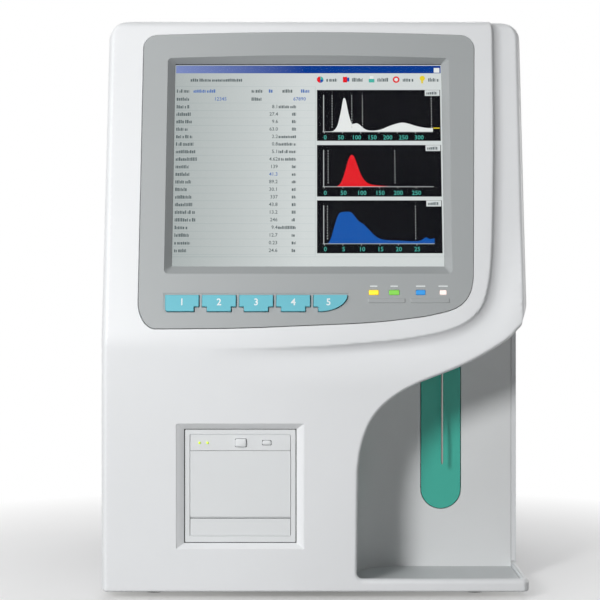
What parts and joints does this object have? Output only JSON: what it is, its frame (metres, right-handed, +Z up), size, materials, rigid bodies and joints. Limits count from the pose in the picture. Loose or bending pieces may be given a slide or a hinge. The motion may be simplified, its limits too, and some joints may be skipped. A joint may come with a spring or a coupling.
{
  "type": "hematology analyzer",
  "caption": "Bench-top blood cell analyzer with a leaning display, press keys, a panel printer and an open sample bay with a probe that rises and a start bar.",
  "frame": {"origin": "on the bench, under the middle of the case's width and depth", "axes": "+Z up, -Y the operator's side with the display, +X the operator's right"},
  "size_m": [0.337, 0.4, 0.461],
  "materials": {
    "shell_white": "fine-grained satin moulding",
    "liner_grey": "smooth pale grey moulding",
    "bezel_grey": "satin grey paint",
    "key_teal": "semi-gloss keycap",
    "bar_teal": "semi-gloss moulding",
    "window_glass": "clear anti-glare window",
    "panel_dark": "dark moulding",
    "steel": "plain sheet and turned steel",
    "chrome": "ground and polished rod",
    "black_plastic": "black moulding",
    "rubber": "soft rubber",
    "board_green": "solder mask",
    "paper": "thermal paper",
    "clear_plastic": "clear acrylic and natural moulding",
    "light_yellow": "light pipe",
    "light_green": "light pipe",
    "light_blue": "light pipe",
    "light_white": "light pipe"
  },
  "bodies": {
    "chassis": {"front_shell": "shell_white", "top_cover": "shell_white", "printer_frame": "shell_white", "bay_liner": "liner_grey", "bay_tray": "liner_grey", "screen_bezel": "bezel_grey", "display_window": "window_glass", "display_panel": "panel_dark", "printer_body": "panel_dark", "base_plate": "steel", "rear_panel": "steel", "mechanism_plate": "steel", "printer_door_pin": "steel", "power_supply": "steel", "guide_rod_left": "chrome", "guide_rod_right": "chrome", "probe_motor": "black_plastic", "start_switch": "black_plastic", "vacuum_pump": "black_plastic", "power_inlet": "black_plastic", "data_port": "black_plastic", "fan_frame": "black_plastic", "drive_belt": "black_plastic", "foot_front_left": "rubber", "foot_front_right": "rubber", "foot_rear_left": "rubber", "foot_rear_right": "rubber", "key_board": "board_green", "main_board": "board_green", "rinse_block": "clear_plastic", "white_cell_bath": "clear_plastic", "red_cell_bath": "clear_plastic", "syringe_pump": "clear_plastic", "diluent_port": "clear_plastic", "lyse_port": "clear_plastic", "rinse_port": "clear_plastic", "waste_port": "clear_plastic", "indicator_yellow": "light_yellow", "indicator_green": "light_green", "printer_light_left": "light_green", "printer_light_right": "light_green", "indicator_blue": "light_blue", "indicator_white": "light_white"},
    "key_1": {"key_1": "key_teal"},
    "key_2": {"key_2": "key_teal"},
    "key_3": {"key_3": "key_teal"},
    "key_4": {"key_4": "key_teal"},
    "key_5": {"key_5": "key_teal"},
    "start_bar": {"start_bar": "bar_teal"},
    "probe_carriage": {"probe_carriage": "black_plastic", "sample_probe": "steel"},
    "drive_pulley": {"drive_pulley": "steel"},
    "idler_pulley": {"idler_pulley": "steel"},
    "printer_door": {"printer_door": "shell_white"},
    "printer_latch": {"printer_latch": "shell_white"},
    "printer_feed_key": {"printer_feed_key": "shell_white"},
    "platen_roller": {"platen_roller": "rubber"},
    "paper_roll": {"paper_roll": "paper"},
    "fan_rotor": {"fan_rotor": "black_plastic"},
    "power_switch": {"power_switch": "black_plastic"}
  },
  "joints": [
    {"name": "key_1_press", "type": "slide", "parent": "chassis", "child": "key_1", "axis": [0, 0.9799, -0.1994], "range_m": [0, 0.0015], "stiffness_N_per_m": 500},
    {"name": "key_2_press", "type": "slide", "parent": "chassis", "child": "key_2", "axis": [0, 0.9799, -0.1994], "range_m": [0, 0.0015], "stiffness_N_per_m": 500},
    {"name": "key_3_press", "type": "slide", "parent": "chassis", "child": "key_3", "axis": [0, 0.9799, -0.1994], "range_m": [0, 0.0015], "stiffness_N_per_m": 500},
    {"name": "key_4_press", "type": "slide", "parent": "chassis", "child": "key_4", "axis": [0, 0.9799, -0.1994], "range_m": [0, 0.0015], "stiffness_N_per_m": 500},
    {"name": "key_5_press", "type": "slide", "parent": "chassis", "child": "key_5", "axis": [0, 0.9799, -0.1994], "range_m": [0, 0.0015], "stiffness_N_per_m": 500},
    {"name": "start_bar_press", "type": "slide", "parent": "chassis", "child": "start_bar", "axis": [0, 1, 0], "range_m": [0, 0.002], "stiffness_N_per_m": 500},
    {"name": "probe_lift", "type": "slide", "parent": "chassis", "child": "probe_carriage", "axis": [0, 0, 1], "range_m": [0, 0.07]},
    {"name": "drive_pulley_turn", "type": "hinge", "parent": "chassis", "child": "drive_pulley", "pos_m": [0.10549, -0.1105, 0.3298], "axis": [0, 1, 0], "range_deg": [-461, 0]},
    {"name": "idler_pulley_turn", "type": "hinge", "parent": "chassis", "child": "idler_pulley", "pos_m": [0.10549, -0.1105, 0.2225], "axis": [0, 1, 0], "range_deg": [-461, 0]},
    {"name": "printer_door_hinge", "type": "hinge", "parent": "chassis", "child": "printer_door", "pos_m": [-0.0581, -0.1937, 0.065], "axis": [1, 0, 0], "range_deg": [0, 90]},
    {"name": "printer_latch_press", "type": "slide", "parent": "chassis", "child": "printer_latch", "axis": [0, 1, 0], "range_m": [0, 0.0015], "stiffness_N_per_m": 300},
    {"name": "printer_feed_press", "type": "slide", "parent": "chassis", "child": "printer_feed_key", "axis": [0, 1, 0], "range_m": [0, 0.001], "stiffness_N_per_m": 300},
    {"name": "platen_turn", "type": "hinge", "parent": "printer_door", "child": "platen_roller", "pos_m": [-0.0581, -0.1874, 0.108], "axis": [1, 0, 0], "continuous": true},
    {"name": "paper_roll_turn", "type": "hinge", "parent": "chassis", "child": "paper_roll", "pos_m": [-0.0581, -0.1684, 0.0823], "axis": [1, 0, 0], "continuous": true},
    {"name": "fan_turn", "type": "hinge", "parent": "chassis", "child": "fan_rotor", "pos_m": [0.06, 0.1782, 0.33], "axis": [0, 1, 0], "continuous": true},
    {"name": "power_switch_rock", "type": "hinge", "parent": "chassis", "child": "power_switch", "pos_m": [0.125, 0.187, 0.1], "axis": [1, 0, 0], "range_deg": [-12, 0]}
  ],
  "couplings": [
    {"joint": "drive_pulley_turn", "follows": "probe_lift", "rad_per_m": -114.29},
    {"joint": "idler_pulley_turn", "follows": "probe_lift", "rad_per_m": -114.29}
  ]
}
